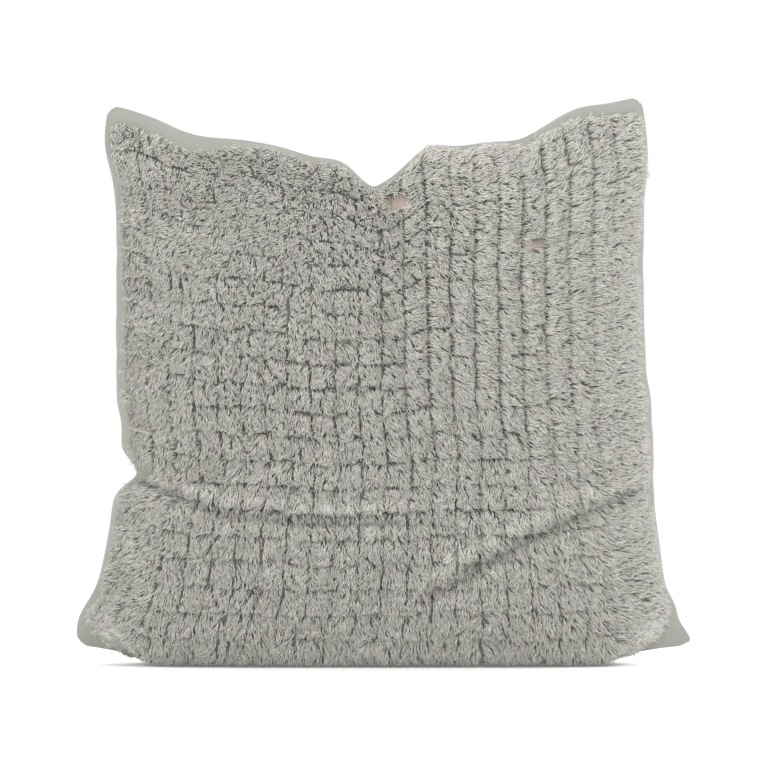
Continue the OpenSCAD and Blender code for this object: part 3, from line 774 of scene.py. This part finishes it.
def make_back(way):
    """The panel above or below the zipper, with a turned hem along the opening."""
    us = panel_lines()
    x = np.abs(along_zipper(us))
    half_open = OPENING_H / 2 * np.clip((OPENING_HALF - x) / OPENING_TAPER, 0, 1)
    cut = v_at(us, ZIPPER_Z + way * half_open)
    steps = near_seam(UPPER_COUNT if way > 0 else LOWER_COUNT)
    seam_ends = steps if way > 0 else 1 - steps[::-1]
    share = np.unique(np.r_[seam_ends, np.array([0.4, 1.0, 2.0, 4.0, 6.0, 7.0]) / COVER * 1.2])
    u = np.repeat(us[:, None], len(share), 1)
    v = cut[:, None] + (1 - cut[:, None]) * share[None] if way > 0 else cut[:, None] * (1 - share[None])
    if way < 0:
        u, v = u[:, ::-1], v[:, ::-1]
    outer = rounded_edge(BACK, u, v, layer(BACK, u, v, 0, 0, 0), BACK_T)
    inner = layer(BACK, u, v, BACK_T, BACK_T, BACK_T)
    from_cut = np.abs(outer[..., 2] - (ZIPPER_Z + way * half_open)[:, None])
    hem = ramp((HEM_W - from_cut) / 1.5) * ramp((OPENING_HALF + 6 - np.abs(outer[..., 0])) / 8)
    stitch = hump(from_cut, STITCH_IN, 0.7) * hem
    outer[..., 1] += HEM_T * hem * np.sqrt(np.clip(from_cut / 0.6, 0, 1)) - 0.3 * stitch
    return slab(f"back_canvas_{WAY_NAMES[way]}", BACK, outer, inner, back_cloth, u, v)


def ring(name, inset_out, inset_in, t_out, t_in, material, count=120):
    """A flat closed band in the middle plane, with rounded edges."""
    t = np.linspace(0, 1, count + 1)[:-1]
    one, zero = np.ones(count), np.zeros(count)
    u, v = np.r_[t, one, 1 - t, zero], np.r_[zero, t, one, 1 - t]
    turn = 2 * np.pi * np.arange(RING_SIDES) / RING_SIDES
    share = 0.5 - 0.5 * np.cos(turn)
    points = rim(u[:, None], v[:, None], mixed(inset_out, inset_in, share))
    points[..., 1] += mixed(t_out, t_in, share) / 2 * np.sign(np.sin(turn)) * np.abs(np.sin(turn)) ** 0.5
    k, m = grid(np.arange(4 * count), np.arange(RING_SIDES))
    a, b = k * RING_SIDES + m, k * RING_SIDES + (m + 1) % RING_SIDES
    step = RING_SIDES * ((k + 1) % (4 * count) - k)
    faces = np.stack([a, a + step, b + step, b], -1).reshape(-1, 4)
    obj = make_mesh(name, points.reshape(-1, 3), [faces], material)
    add_cloth_place(obj, np.repeat(u, RING_SIDES), np.repeat(v, RING_SIDES))
    return obj


front_canvas = make_front()
back_upper, back_lower = make_back(1), make_back(-1)
allowance = ring(
    "seam_allowance", ALLOWANCE_START, ALLOWANCE_START + ALLOWANCE_W, 0.3, ALLOWANCE_T, back_cloth
)

# ---- Pile: strands of yarn in columns of square tufts

STRANDS = 300  # in each full tuft
STRAND_L = 11.0
STRAND_R = 0.34
THICKNESS = (0.9, 1.05, 0.95, 0.45)  # of a strand from its root to its tip
LOCKS = 14  # strands of a tuft gather in locks
LOCK_PULL = 0.22
RINGS, SIDES = 3, 3  # of a strand
COLUMN_GAP = 0.28  # bare strip on each side of a distinct tuft, in millimetres
COLUMN_OVERRUN, ROW_OVERRUN = 2.2, 6.2  # how far the tips may pass the side of a distinct tuft
LOOSE_OVERRUN = 12.0
SWIRL_SIZES = (26.0, 15.0, 9.0)  # patches in which neighbouring strands turn the same way
EDGE_PILE, TOP_EDGE_PILE = 4.0, 7.5  # how far the pile runs into the border
LEVEL = 0.65  # how much of their sag towards the middle the rows of tufts lose

# How the pile is combed: x, z, direction in degrees from straight down towards the right,
# how steeply the tips stand, length as a share, and how distinct the tufts are
COMB = [
    (-208, 400, 24, 14, 0.75, 1),
    (-150, 400, -30, 28, 0.8, 0),
    (-110, 370, -40, 24, 0.85, 0),
    (-150, 330, -15, 24, 0.85, 0.4),
    (-60, 390, -15, 28, 0.8, 0),
    (-210, 310, 26, 7, 0.8, 1),
    (-150, 250, 10, 18, 0.95, 1),
    (-90, 310, 6, 24, 0.85, 0.75),
    (-80, 220, 4, 18, 1, 1),
    (-25, 340, -5, 24, 0.9, 0.7),
    (-25, 230, 0, 17, 1, 1),
    (25, 350, 42, 14, 1, 0.7),
    (40, 290, 50, 12, 1, 0.9),
    (40, 210, 35, 12, 1, 1),
    (60, 400, 75, 18, 0.9, 0.5),
    (100, 350, 72, 14, 1, 0.9),
    (100, 270, 52, 11, 1, 1),
    (100, 190, 32, 11, 1, 1),
    (160, 410, 85, 16, 0.9, 0.9),
    (155, 310, 68, 12, 1, 1),
    (155, 210, 48, 12, 1, 1),
    (212, 400, 80, 12, 0.8, 1),
    (210, 300, 66, 7, 0.8, 1),
    (210, 200, 52, 7, 0.8, 1),
    (215, 110, 45, 14, 0.95, 0.9),
    (150, 110, 22, 13, 1, 0.9),
    (60, 110, 6, 13, 1, 1),
    (-40, 110, -5, 13, 1, 1),
    (-130, 110, 2, 15, 1, 1),
    (-212, 120, 20, 8, 0.85, 1),
    (-210, 210, 26, 5, 0.8, 1),
    (0, 45, 0, 13, 1, 1),
    (-225, 45, 5, 14, 0.85, 0.9),
    (-120, 45, 2, 15, 1, 1),
    (120, 45, 8, 15, 1, 1),
    (225, 45, 35, 16, 0.9, 0.8),
]
COMB_REACH = 38.0


def combed(x, z):
    """Direction, steepness, length and distinctness of the pile at each place."""
    comb = np.array(COMB, float)
    near = np.exp(-(((x[:, None] - comb[:, 0]) ** 2 + (z[:, None] - comb[:, 1]) ** 2) / COMB_REACH**2))
    near /= near.sum(1, keepdims=True) + 1e-12
    return np.radians(near @ comb[:, 2]), np.radians(near @ comb[:, 3]), near @ comb[:, 4], near @ comb[:, 5]


def swirl(x, z, seed):
    """A smooth random field, about -1 to 1."""
    rng = np.random.default_rng([SEED, seed])
    total = np.zeros_like(x)
    for size in SWIRL_SIZES:
        for _ in range(4):
            way, phase = rng.uniform(0, np.pi), rng.uniform(0, 2 * np.pi)
            total = total + np.sin(2 * np.pi * (x * np.cos(way) + z * np.sin(way)) / size + phase)
    return total / math.sqrt(2 * len(SWIRL_SIZES))


# How far the bare cloth reaches along u and v from each corner, in millimetres
BARE_CORNERS = [(0, 0, 52, 32), (1, 0, 57, 34), (0, 1, 30, 22), (1, 1, 44, 22)]
RAGGED_SPOT, RAGGED_CORNER = 0.5, 0.15  # how uneven the edges of the bare places are


def bare(u, v, x, z, random):
    """True for strands that are left out."""
    out = np.zeros(len(x), bool)
    for *spot, _ in BARE_SPOTS:
        out |= from_spot(x, z, *spot) < 0.7 + RAGGED_SPOT * random
    for at_u, at_v, reach_u, reach_v in BARE_CORNERS:
        away = (np.abs(u - at_u) / reach_u + np.abs(v - at_v) / reach_v) * COVER
        out |= away < 1 + RAGGED_CORNER * random
    return out


def tuft_span(k, count, edge_low, edge_high):
    """Both ends of a tuft in the flat cloth. The outer ones run into the border."""
    low, high = (BORDER + at * (COVER - 2 * BORDER) / count for at in (k - 1, k))
    return low - edge_low * (k == 1), high + edge_high * (k == count)


def levelled(u, w):
    """Value of v that makes a row of tufts at w sag less towards the middle."""
    c = corner_share(u)

    def share_at(t):
        above_foot = (t - FOOT_V) / (1 - FOOT_V)
        wanted = mixed(c * t + (1 - c) * above_foot, above_foot, LEVEL)
        return (wanted + (1 - c) * FOOT_V / (1 - FOOT_V)) / (c + (1 - c) / (1 - FOOT_V))

    return np.where(w > FOOT_V, share_at(w), w * share_at(FOOT_V) / FOOT_V)


def at_least(values, least=1e-3):
    return np.maximum(values, least)


def turned(start, end, angle):
    """Unit vectors turned by an angle from start towards end."""
    return start * np.cos(angle)[:, None] + end * np.sin(angle)[:, None]


def column_strands(i, rng):
    """Centre lines, radii, side vectors, tones and tints of a column's strands."""
    rows = np.arange(1, TUFTS + 1)
    top_edge_pile = TOP_EDGE_PILE * ramp((i - 4) / 3) * ramp((COLUMNS - 1 - i) / 4)
    u0, u1 = tuft_span(i, COLUMNS, EDGE_PILE, EDGE_PILE)
    v0, v1 = tuft_span(rows, TUFTS, EDGE_PILE, top_edge_pile)
    full = ((COVER - 2 * BORDER) / TUFTS) ** 2
    counts = np.round(STRANDS * (u1 - u0) * (v1 - v0) / full).astype(int)
    total = counts.sum()
    tuft = np.repeat(np.arange(TUFTS), counts)
    s, t = rng.random(total), rng.random(total)
    centre_s, centre_t = rng.random((TUFTS, LOCKS)), rng.random((TUFTS, LOCKS))
    nearest = np.argmin((s[:, None] - centre_s[tuft]) ** 2 + (t[:, None] - centre_t[tuft]) ** 2, 1)
    lock = tuft * LOCKS + nearest
    width, height = np.full(total, u1 - u0), (v1 - v0)[tuft]
    x, z = outline(np.full(total, (u0 + u1) / 2 / COVER), (v0[tuft] + height / 2) / COVER)
    combed_way, _, _, distinct = combed(x, z)
    hangs = distinct * np.cos(combed_way) ** 2
    gap = COLUMN_GAP * distinct * (0.4 + 1.5 * np.cos(combed_way) ** 2)
    u = (u0 + gap + (width - 2 * gap) * s) / COVER
    v = levelled(u, (v0[tuft] + height * t) / COVER)
    pull_u = width * (centre_s[tuft, nearest] - s) * LOCK_PULL
    pull_v = height * (centre_t[tuft, nearest] - t) * LOCK_PULL
    root = skin(FRONT, u, v)
    root[:, 2] = np.maximum(root[:, 2], FOOT_Z)
    along_u, along_v, out = slopes(base_skin, FRONT, u, v)
    direction, tip_angle, length, _ = combed(root[:, 0], root[:, 2])
    direction += np.radians(
        14 * swirl(root[:, 0], root[:, 2], 1)
        + rng.normal(0, 8, TUFTS)[tuft]
        + rng.normal(0, 14, TUFTS * LOCKS)[lock]
        + rng.normal(0, 10, total)
    )
    turn = np.radians(26 * swirl(root[:, 0], root[:, 2], 2) + rng.normal(0, 16, total)) * (1 - 0.5 * hangs)
    root_angle = np.radians(rng.normal(68, 9, total))
    tip_angle += np.radians(5 * swirl(root[:, 0], root[:, 2], 3) + rng.normal(0, 7, total))
    length = STRAND_L * length * rng.uniform(0.88, 1.08, total)
    to_right, to_down = np.sin(direction), np.cos(direction)
    loose = (1 - distinct) ** 2 * (1 < i < COLUMNS)
    over_u = mixed(COLUMN_OVERRUN * (1 - 0.55 * hangs), LOOSE_OVERRUN, loose) * rng.uniform(0.6, 1.4, total)
    over_v = mixed(ROW_OVERRUN, LOOSE_OVERRUN, loose) * rng.uniform(0.3, 1.5, TUFTS * LOCKS)[lock]
    room_u = np.where(to_right > 0, 1 - s, s) * width + over_u
    room_v = np.where(to_down > 0, t, 1 - t) * height + over_v
    room = np.minimum(room_u / at_least(np.abs(to_right)), room_v / at_least(np.abs(to_down)))
    tip_angle = np.maximum(tip_angle, 1.2 * np.arccos(np.clip(room / length, 0.3, 1)))
    at_edge = ramp((np.maximum(u, v) - 0.96) / 0.03)
    pressed = np.maximum(ramp((FOOT_V * 1.25 - v) / (FOOT_V * 0.3)), 0.8 * at_edge)
    tip_angle = mixed(tip_angle, np.radians(4), pressed)
    root_angle = mixed(root_angle, np.radians(38), pressed)
    down = -unit(along_v - along_u * np.sum(along_u * along_v, 1, keepdims=True))
    across = unit(np.cross(turned(down, along_u, direction), out))
    lift = (1.6 * (1 - t) + 0.6 * (1 - np.abs(2 * s - 1)))[:, None]
    centres = [root + out * lift * (1 - pressed)[:, None] * 0.5]
    phase, curl = rng.uniform(0, 2 * np.pi, total), rng.uniform(0.1, 0.5, total)
    for k in range(1, RINGS + 1):
        share = (k - 0.5) / RINGS
        bend = mixed(root_angle, tip_angle, ramp(share * 1.25))
        heading = direction + turn * (share - 0.5) + curl * np.cos(phase + 5.0 * share)
        way = turned(turned(down, along_u, heading), out, bend)
        centres.append(centres[-1] + way * (length / RINGS)[:, None])
    centres = np.stack(centres, 1)
    gather = (np.arange(RINGS + 1) / RINGS)[None, :, None]
    centres += gather * (along_u * pull_u[:, None] + down * -pull_v[:, None])[:, None, :]
    radii = STRAND_R * rng.uniform(0.75, 1.2, total)[:, None] * np.array(THICKNESS)
    centres[..., 2] = np.maximum(centres[..., 2], radii + 0.15)
    tone = mixed(rng.random(total), rng.random(TUFTS * LOCKS)[lock], 0.25)
    tint = mixed(rng.random(TUFTS)[tuft], rng.random(TUFTS * LOCKS)[lock], 0.4)
    keep = ~bare(u, v, root[:, 0], root[:, 2], rng.random(total))
    return centres[keep], radii[keep], across[keep], tone[keep], tint[keep]


def bake_layout(obj, strands):
    """A UV layer for baking: each strand has a square of its own."""
    cells = math.ceil(math.sqrt(strands))
    k, m = grid(np.arange(RINGS - 1), np.arange(SIDES))
    quad_u = np.stack([m, m + 1, m + 1, m], -1).reshape(-1) / SIDES
    quad_v = np.stack([k, k, k + 1, k + 1], -1).reshape(-1) / RINGS
    m = np.arange(SIDES)
    tip_u = np.stack([m, m + 1, m + 0.5], -1).ravel() / SIDES
    tip_v = np.tile([(RINGS - 1) / RINGS, (RINGS - 1) / RINGS, 1.0], SIDES)
    root_u, root_v = (0.0, 0.2, 0.1), (-0.02, -0.02, -0.1)
    column, row = np.arange(strands) % cells, np.arange(strands) // cells

    def placed(us, vs):
        x = (column[:, None] + 0.15 + 0.7 * us) / cells
        y = (row[:, None] + 0.2 + 0.65 * vs) / cells
        return np.stack([x, y], -1).reshape(-1, 2)

    tris = placed(np.r_[tip_u, root_u], np.r_[tip_v, root_v])
    uv = np.r_[placed(quad_u, quad_v), tris]
    obj.data.uv_layers.new(name="OFBake").data.foreach_set("uv", uv.astype(np.float32).ravel())


def make_column(i):
    centres, radii, across, tone, tint = column_strands(i, np.random.default_rng([SEED, i]))
    points, quads, tris, share = tubes(centres, across, radii, SIDES)
    obj = make_mesh(f"pile_tufts_{i:02d}", points, [quads, tris], pile)
    add_values(obj, "along", share)
    for name, values in (("tone", tone), ("tint", tint)):
        add_values(obj, name, np.repeat(values, len(points) // len(centres)))
    bake_layout(obj, len(centres))
    return obj


pile_columns = [make_column(i) for i in range(1, COLUMNS + 1)]

# ---- Zipper


def make_tape(way):
    xs = np.linspace(-TAPE_HALF_L, TAPE_HALF_L, 221)
    shares = np.r_[0, 0.01, 0.03, np.linspace(0.07, 0.93, 14), 0.97, 0.99, 1]
    x, s = grid(xs, shares)
    wave = 0.25 * np.sin(x / 11) * s**2
    z = ZIPPER_Z + way * (CHAIN_SLIT / 2 + (TAPE_W - 0.3) * s + wave)
    edge = TAPE_T / 2 * (1 - np.sqrt(np.clip(np.minimum(s, 1 - s) / 0.03, 0, 1)))
    outer = np.stack([x, TAPE_Y - 0.05 - edge, z], -1)
    inner = np.stack([x, TAPE_Y - 0.05 - TAPE_T + edge, z], -1)
    if way < 0:
        outer, inner = outer[:, ::-1], inner[:, ::-1]
    u, v = outer[..., 0] / COVER, outer[..., 2] / COVER
    return slab(f"tape_{WAY_NAMES[way]}", BACK, outer, inner, tape_cloth, u, v)


def make_coil(way):
    """A nylon wire wound into a flattened coil, half a pitch apart from the other."""
    pitch, wire_r, per_turn = 1.25, 0.34, 12
    turns = int(2 * CHAIN_HALF_L / pitch)
    half_w, half_t = (CHAIN_W - CHAIN_SLIT) / 4 - wire_r, CHAIN_T / 2 - wire_r
    t = np.linspace(0, turns, turns * per_turn + 1)
    angle = 2 * np.pi * t + (0 if way > 0 else np.pi)
    x = -CHAIN_HALF_L + wire_r + t * (2 * CHAIN_HALF_L - 2 * wire_r) / turns
    z = ZIPPER_Z + way * ((CHAIN_W + CHAIN_SLIT) / 4 + half_w * np.cos(angle))
    y = TAPE_Y + CHAIN_T / 2 + half_t * np.sin(angle)
    centres = np.stack([x, y, z], -1)[None]
    radii = np.full(centres.shape[:2], wire_r)
    points, quads, tris, _ = tubes(centres, np.array([[1.0, 0, 0]]), radii, 6)
    return make_mesh(f"coil_{WAY_NAMES[way]}", points, [quads, tris], coil_nylon)


def make_stitches(way):
    """Lockstitches: each thread dips into the cloth at both ends."""
    pitch, length, r = 3.4, 2.7, 0.3
    count = int(2 * (OPENING_HALF - 3) / pitch)
    start = -count * pitch / 2 + (pitch - length) / 2
    s = np.linspace(0, 1, 8)
    x = start + pitch * np.arange(count)[:, None] + length * s[None]
    y = BAND_FACE_Y + 0.45 - 0.35 * np.abs(2 * s - 1) ** 3 + np.zeros_like(x)
    z = np.full_like(x, ZIPPER_Z + way * (OPENING_H / 2 + 3)) + 0.15 * np.cos(np.pi * s)
    radii = np.tile(r * np.array([0.6, 0.95, 1, 1, 1, 0.95, 0.6, 0.1]), (count, 1))
    across = np.tile([0.0, 0, 1], (count, 1))
    points, quads, tris, _ = tubes(np.stack([x, y, z], -1), across, radii, 8)
    return make_mesh(f"stitches_{WAY_NAMES[way]}", points, [quads, tris], thread)


def rounded_copy(name, node, width):
    """A copy of one of the zipper's metal nodes, with rounded edges."""
    obj = add_object(name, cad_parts[node].data.copy())
    obj.data.materials.clear()
    obj.data.materials.append(metal)
    weld = obj.modifiers.new("Weld", "WELD")
    weld.merge_threshold = 0.00001
    bevel = obj.modifiers.new("Bevel", "BEVEL")
    bevel.width = width * MM
    bevel.segments = 3
    bevel.angle_limit = math.radians(35)
    obj.data.polygons.foreach_set("use_smooth", np.ones(len(obj.data.polygons), bool))
    obj.modifiers.new("Corners", "WEIGHTED_NORMAL")
    return obj


tapes = [make_tape(1), make_tape(-1)]
coils = [make_coil(1), make_coil(-1)]
stitches = [make_stitches(1), make_stitches(-1)]
# Of each metal piece: its node, the width of its rounded edges and its body
METAL_PIECES = {
    "top_stops": ("zipper_top_stops", 0.35, "pillow"),
    "bottom_stop": ("zipper_bottom_stop", 0.5, "pillow"),
    "slider_body": ("zipper_slider_body", 0.2, "slider"),
    "slider_bridge": ("zipper_slider_bridge", 0.2, "slider"),
    "pull_tab_plate": ("zipper_pull_tab", 0.25, "pull_tab"),
}
metal_pieces = [rounded_copy(name, node, width) for name, (node, width, _) in METAL_PIECES.items()]

# ---- Inside the cover


# The extra room that the insert leaves for the zipper
CLEARANCE, CLEAR_FADE, CLEAR_HALF_L, CLEAR_HALF_H = 5, 30, BAND_HALF_L + 50, BAND_HALF_H + 58
FILL_GAP = 0.05
# Label, in shares of the flat cloth, and depths of its faces inside the back panel
LABEL_U, LABEL_V, LABEL_W, LABEL_H = 0.03, 0.44, 0.07, 0.05
LABEL_DEPTHS = (1.4, 1.8)


def insert_points(side, u, v, more):
    """The insert's surface, further from the zipper than from the cover."""
    scale = 1 - 2 * INSERT_INSET / COVER
    su, sv = INSERT_INSET / COVER + u * scale, INSERT_INSET / COVER + v * scale
    p = skin(side, su, sv)
    depth = (GROUND_T if side == FRONT else BACK_T) + INSERT_GAP + more
    if side == BACK:
        x, z = np.abs(p[..., 0]), np.abs(p[..., 2] - ZIPPER_Z)
        near_zipper = ramp((CLEAR_HALF_L - x) / CLEAR_FADE) * ramp((CLEAR_HALF_H - z) / CLEAR_FADE)
        depth = depth + CLEARANCE * near_zipper
    depth = np.broadcast_to(depth, u.shape)[..., None]
    q = p - depth * slopes(base_skin, side, su, sv)[2]
    floor_z = INSERT_GAP + more + (FOOT_Z + GROUND_T if side == FRONT else BACK_T)
    q[..., 2] = np.maximum(q[..., 2], floor_z)
    return np.where(on_rim(u, v)[..., None], rim(u, v, INSERT_INSET + more), q)


INSERT_COUNT = 90
t_insert = np.linspace(0, 1, INSERT_COUNT)
u_insert, v_insert = grid(t_insert, t_insert)


def make_insert_shell(side, name):
    outer, inner = (insert_points(side, u_insert, v_insert, more) for more in (0, SHELL_T))
    return slab(name, side, outer, inner, shell_fleece, u_insert, v_insert)


def make_fill():
    sides = (insert_points(side, u_insert, v_insert, SHELL_T + FILL_GAP) for side in (FRONT, BACK))
    points, faces, _ = closed_skin(*sides)
    return make_mesh("fibre_fill", points, [faces], fill_fibre)


def make_label():
    u, v = grid(LABEL_U + LABEL_W * np.linspace(0, 1, 24), LABEL_V + LABEL_H * np.linspace(0, 1, 18))
    outer, inner = (layer(BACK, u, v, BACK_T + depth, 0, 0) for depth in LABEL_DEPTHS)
    return slab("blank_label", BACK, outer, inner, label_cloth, u, v)


shell_front = make_insert_shell(FRONT, "insert_cloth_front")
shell_back = make_insert_shell(BACK, "insert_cloth_back")
insert_seam = ring(
    "insert_seam", ALLOWANCE_START + ALLOWANCE_W + 1, INSERT_INSET - 0.4, 1, 1, shell_fleece
)
fill = make_fill()
label = make_label()

# ---- What each piece rides on and stands for


def place_piece(obj, node, body="pillow"):
    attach(obj, body)
    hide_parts(node)


place_piece(front_canvas, "front_ground_cloth")
for i, obj in enumerate(pile_columns, 1):
    place_piece(obj, f"pile_column_{i:02d}")
place_piece(back_upper, "back_panel_upper")
place_piece(back_lower, "back_panel_lower")
place_piece(allowance, "edge_seam_allowance")
for tape, coil, rows, way_name in zip(tapes, coils, stitches, WAY_NAMES.values()):
    place_piece(tape, f"zipper_tape_{way_name}")
    place_piece(coil, f"zipper_coil_{way_name}")
    place_piece(rows, f"zipper_stitching_{way_name}")
for obj, (node, _, body) in zip(metal_pieces, METAL_PIECES.values()):
    place_piece(obj, node, body)
place_piece(label, "care_label")
place_piece(shell_front, "insert_shell_front")
place_piece(shell_back, "insert_shell_back")
place_piece(insert_seam, "insert_edge_seam")
place_piece(fill, "insert_fill")

# ---- Camera, floor and light

CAMERA_DISTANCE = 4.5  # from the middle plane
VIEW_WIDTH = 0.6235  # what the view takes in at the middle plane
VIEW_X, VIEW_Z = -0.0012, 0.2276  # middle of the view

camera_data = bpy.data.cameras.new("camera")
camera_data.lens = camera_data.sensor_width * CAMERA_DISTANCE / VIEW_WIDTH
camera = add_object("camera", camera_data)
camera.location = (VIEW_X, SEAM_Y * MM - CAMERA_DISTANCE, VIEW_Z)
camera.rotation_euler = (math.radians(90), 0, 0)
bpy.context.scene.camera = camera


def make_floor():
    half = 6000.0
    points = np.array([[-half, -half, 0], [half, -half, 0], [half, half, 0], [-half, half, 0]])
    look = Look("floor_paper", Roughness=0.9, Emission_Color=(1, 1, 1, 1), Emission_Strength=0.12)
    speckle = look.noise(look.place(), 40.0)
    material = look.finish(look.blend(speckle, srgb(246, 246, 246), srgb(250, 250, 250)))
    return make_mesh("floor", points, [np.array([[0, 1, 2, 3]])], material)


make_floor()


def area_light(name, place, size, energy, target=(0, 0, 0.22)):
    data = bpy.data.lights.new(name, "AREA")
    data.shape = "DISK"
    data.size = size
    data.energy = energy
    light = add_object(name, data)
    light.location = place
    x, y, z = np.array(place, float) - np.array(target)
    light.rotation_euler = (math.atan2(math.hypot(x, y), z), 0, math.atan2(x, -y))


area_light("key", (0.9, -1.5, 1.6), 0.7, 18)
area_light("fill", (-1.4, -1.2, 0.8), 1.0, 5)
area_light("back", (0.4, 1.8, 1.4), 0.9, 14)

world = bpy.data.worlds.new("world")
world.use_nodes = True
world.node_tree.nodes["Background"].inputs[0].default_value = (1, 1, 1, 1)
bpy.context.scene.world = world
bpy.context.scene.view_settings.view_transform = "Standard"

# ---- Where the zipper lies on the back cloth, as a share of v

zipper_v = float(v_at(np.array([0.5]), ZIPPER_Z)[0])
